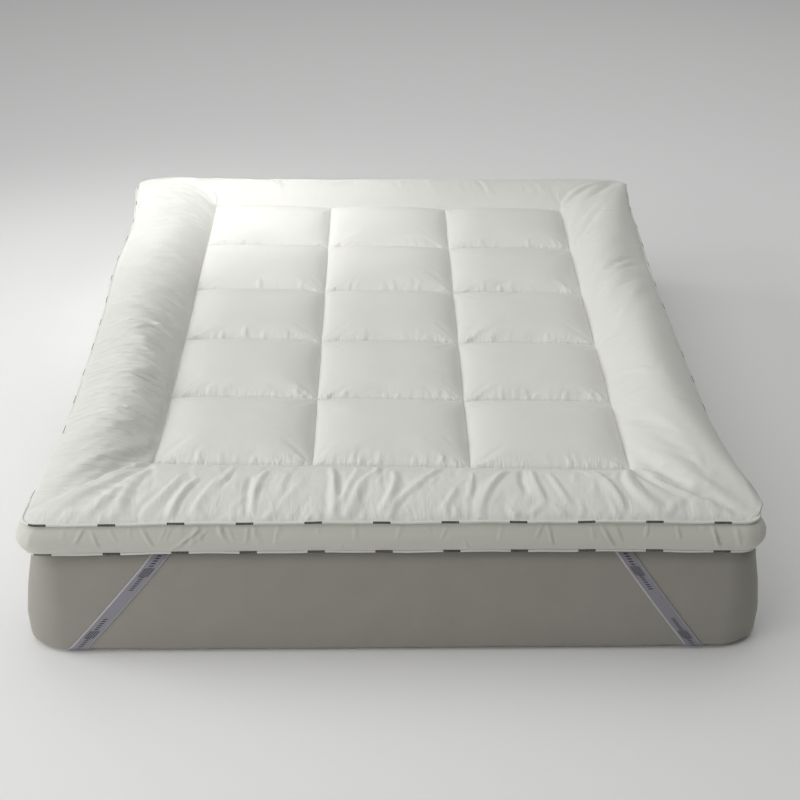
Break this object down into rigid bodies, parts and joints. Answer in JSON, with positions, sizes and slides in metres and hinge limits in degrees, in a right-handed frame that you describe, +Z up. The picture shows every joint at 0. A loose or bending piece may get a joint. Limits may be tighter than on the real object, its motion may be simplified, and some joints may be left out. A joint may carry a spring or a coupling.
{
  "type": "mattress topper on a mattress",
  "caption": "Thick white quilted mattress topper with a box-stitched middle, a puffed border, piped side gusset and elastic corner straps, held on a plain mattress.",
  "frame": {"origin": "on the floor under the middle of the mattress's underside", "axes": "+Z up; -Y towards the foot end, which is the end seen in the picture; +X to the right seen from the foot end"},
  "size_m": [1.5774, 2.0144, 0.3693],
  "materials": {
    "mattress_cloth": "matt grey-beige knit",
    "topper_cloth": "smooth off-white cotton with a faint sheen",
    "piping_cloth": "off-white woven cord cover",
    "strap_elastic": "grey ribbed elastic with paler edges"
  },
  "bodies": {
    "root": {"mattress": "mattress_cloth", "topper": "topper_cloth", "gusset": "topper_cloth", "piping_top": "piping_cloth", "piping_bottom": "piping_cloth", "strap_foot_left": "strap_elastic", "strap_foot_right": "strap_elastic", "strap_head_left": "strap_elastic", "strap_head_right": "strap_elastic"}
  },
  "joints": []
}
